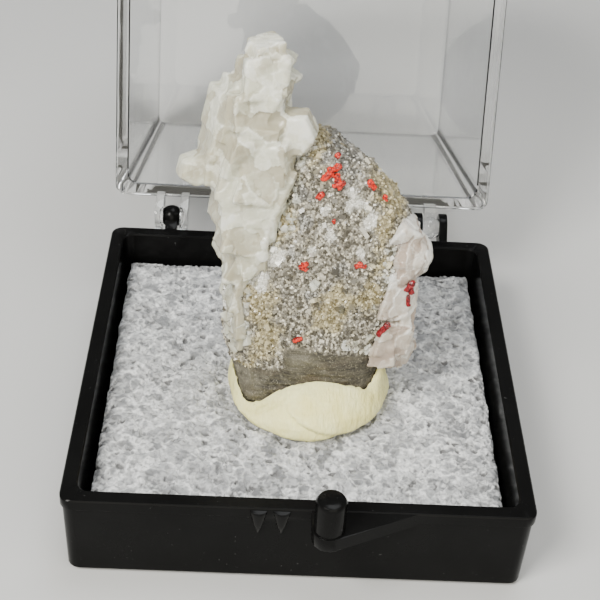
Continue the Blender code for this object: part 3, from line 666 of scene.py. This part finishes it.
def foam_point(x, y):
    """Height of the cut foam at a point, thin walls around shallow pits, and how light it is painted: painted shade
    darkens the pits and hollows.
    """
    where = Vector((x, y, 0.4 * noise.noise(Vector((x, y, 4.0)) * 0.6))) / CELL_PITCH
    distances, centres = noise.voronoi(where + 0.35 * noise.noise_vector(where * 1.7))
    wall = 1.0 - min((distances[1] - distances[0]) / 0.3, 1.0)
    shaded_pit = 0.5 + 0.5 * noise.cell(centres[0] * 7.3)
    hollow = max(1.0 - distances[0] / 0.42, 0.0) if noise.cell(centres[0] * 3.7) > 0.62 else 0.0
    crumple = noise.noise(where * 2.6)
    height = CELL_DEPTH * (wall**1.5 - 1.0) * shaded_pit + 0.09 * crumple + 0.10 * noise.noise(where * 0.3) - 0.3 * hollow
    return height, min(max(0.75 + 0.35 * wall + 0.4 * crumple - 0.35 * shaded_pit - 1.5 * hollow, 0.0), 1.0)


def make_foam():
    """The cut foam pad: a fine grid of cells on top, with plain sides and a flat bottom."""
    count = FOAM_STEPS + 1
    points, painted_lightnesses = [], []
    for row in range(count):
        for column in range(count):
            u, v = 2.0 * column / FOAM_STEPS - 1.0, 2.0 * row / FOAM_STEPS - 1.0
            edge = max(abs(u), abs(v))
            x = FOAM_HALF * u + (0.16 * noise.noise(Vector((v * 9.0, 3.0 * u, 1.0))) if abs(u) == edge else 0.0) * edge**8
            y = FOAM_HALF * v + (0.16 * noise.noise(Vector((u * 9.0, 3.0 * v, 6.0))) if abs(v) == edge else 0.0) * edge**8
            height, painted_lightness = foam_point(x, y)
            points.append((x, y, FOAM_TOP - 0.12 + height - 0.35 * edge**60))
            painted_lightnesses.append(painted_lightness)
    ring = [column for column in range(FOAM_STEPS)]
    ring += [row * count + FOAM_STEPS for row in range(FOAM_STEPS)]
    ring += [FOAM_STEPS * count + column for column in range(FOAM_STEPS, 0, -1)]
    ring += [row * count for row in range(FOAM_STEPS, 0, -1)]
    faces = [(a, a + 1, a + count + 1, a + count) for row in range(FOAM_STEPS) for a in range(row * count, row * count + FOAM_STEPS)]
    below = len(points)
    for index in ring:
        x, y, _ = points[index]
        points.append((x, y, FOAM_BOTTOM))
        painted_lightnesses.append(0.5)
    for here in range(len(ring)):
        after = (here + 1) % len(ring)
        faces.append((ring[after], ring[here], below + here, below + after))
    faces.append(tuple(below + here for here in range(len(ring) - 1, -1, -1)))
    mesh = bpy.data.meshes.new("foam")
    mesh.from_pydata([(x * MM, y * MM, z * MM) for x, y, z in points], [], faces)
    store(mesh, "painted_lightness", painted_lightnesses)
    pad = new_piece("foam_pad", mesh, foam_skin(), "base", "foam", "foam_liner")


PUTTY_FOLD = (Vector((-1.6, -7.0, 8.4)), Vector((4.0, -8.9, 6.1)))


def make_putty():
    """The pressed putty: smooth lumps, faint drag lines and one fold at the lower front."""
    fine = with_modifiers(mesh_from(node_shape("putty"), "putty", True), ("SUBSURF", {"levels": 3, "render_levels": 3}))
    start, end = PUTTY_FOLD
    along = end - start
    places = []
    for vertex, normal in zip(fine.vertices, normals_of(fine)):
        own = vertex.co / MM
        lump = 0.12 * noise.noise(own * 0.7) + 0.05 * noise.noise(Vector((own.x * 0.7, own.y * 2.6, own.z * 2.6)))
        part = (own - start).dot(along) / along.length_squared
        nearest = start + along * min(max(part, 0.0), 1.0)
        offset = own - nearest
        if -0.1 < part < 1.1 and own.y < -4.0:
            fade = math.sin(math.pi * min(max(part, 0.0), 1.0))
            lump += 0.34 * fade * math.exp(-abs(offset.z - 0.2) / 0.45) * (1.0 if offset.z > 0 else -0.9)
        places.append((own + normal * lump) * MM)
    fine.vertices.foreach_set("co", np.array(places).ravel())
    fine.update()
    fine.shade_smooth()
    new_piece("putty_lump", fine, putty_paste(), "base", "putty", "putty")


DEEP_REALGAR = ("realgar_10", "realgar_11", "realgar_12")


def realgar_relief(own):
    distances, centres = noise.voronoi(own / 0.22)
    return 0.045 * noise.cell(centres[0] * 4.7) - 0.04 * distances[0] + 0.07


def dress_realgar():
    """Irregular glassy crystals in place of the plain prisms, the lower right ones deep red."""
    bright = realgar_red()
    deep = realgar_red("realgar_deep", (0.06, 0.001, 0.002), (0.26, 0.002, 0.007))
    edges = {"width": 0.05 * MM, "segments": 1, "limit_method": "ANGLE", "angle_limit": math.radians(25)}
    edges["use_clamp_overlap"] = True
    for name in sorted(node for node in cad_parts.keys() if node.startswith("realgar")):
        coarse = mesh_from(node_shape(name), name, True)
        fine = with_modifiers(coarse, ("BEVEL", edges), ("REMESH", {"mode": "VOXEL", "voxel_size": 0.035 * MM}))
        reshape(fine, realgar_relief)
        new_piece(f"{name}_crystal", fine, deep if name in DEEP_REALGAR else bright, "base", "realgar", name)


def set_camera():
    camera = bpy.data.cameras.new("camera")
    camera.lens, camera.sensor_width = CAMERA_LENS, 36.0
    camera.clip_start, camera.clip_end = 0.005, 20.0
    down, aside, roll = CAMERA_DOWN, CAMERA_ASIDE, CAMERA_ROLL
    forward = Vector((math.sin(aside) * math.cos(down), math.cos(aside) * math.cos(down), -math.sin(down)))
    right = Vector((math.cos(aside), -math.sin(aside), 0.0))
    up = right.cross(forward)
    turned_right = math.cos(roll) * right + math.sin(roll) * up
    turned_up = -math.sin(roll) * right + math.cos(roll) * up
    holder = bpy.data.objects.new("camera", camera)
    bpy.context.scene.collection.objects.link(holder)
    turn = Matrix((turned_right, turned_up, -forward)).transposed()
    holder.matrix_world = Matrix.Translation(CAMERA_PLACE) @ turn.to_4x4()
    bpy.context.scene.camera = holder


def add_light(name, place, aim, size, power, colour=(1, 1, 1)):
    light = bpy.data.lights.new(name, "AREA")
    light.shape, light.size, light.energy, light.color = "SQUARE", size, power, colour
    holder = bpy.data.objects.new(name, light)
    bpy.context.scene.collection.objects.link(holder)
    holder.location = place
    holder.rotation_euler = (Vector(aim) - Vector(place)).to_track_quat("-Z", "Y").to_euler()


def set_studio():
    world = bpy.context.scene.world or bpy.data.worlds.new("studio")
    bpy.context.scene.world = world
    world.use_nodes = True
    world.node_tree.nodes["Background"].inputs["Color"].default_value = (0.9, 0.9, 0.89, 1.0)
    world.node_tree.nodes["Background"].inputs["Strength"].default_value = 0.3
    middle = (0, 0, 0.015)
    add_light("key", (-0.20, -0.20, 0.32), middle, 0.16, 2.6, (1.0, 0.985, 0.92))
    add_light("fill", (0.26, -0.20, 0.26), middle, 0.3, 0.55, (1.0, 0.97, 0.86))
    add_light("front", (0.05, -0.42, 0.17), middle, 0.45, 1.7, (1.0, 0.97, 0.85))
    add_light("top", (0.05, 0.10, 0.42), middle, 0.2, 0.9, (0.95, 0.98, 1.0))
    shape = bmesh.new()
    bmesh.ops.create_grid(shape, x_segments=1, y_segments=1, size=1500.0)
    floor = bpy.data.objects.new("floor", mesh_from(shape, "floor"))
    bpy.context.scene.collection.objects.link(floor)
    floor.data.materials.append(floor_paint())


set_camera()
set_studio()
white_calcite = calcite_body()
pink_calcite = calcite_body("calcite_pink", (0.69, 0.61, 0.52), (0.49, 0.395, 0.325), (0.95, 0.925, 0.86))
stone_surface = dress_stone()
dress_calcite("calcite_mass", "calcite_column", "calcite", white_calcite, 0.115)
dress_calcite("calcite_edge", "calcite_border", "calcite_edge", pink_calcite, 0.085)
make_crystals(stone_surface, white_calcite)
dress_realgar()
make_foam()
make_putty()
dress_box("box_base", "tray", "black_tray", black_plastic(), "base")
dress_box("box_lid", "lid", "clear_lid", clear_plastic(), "lid")
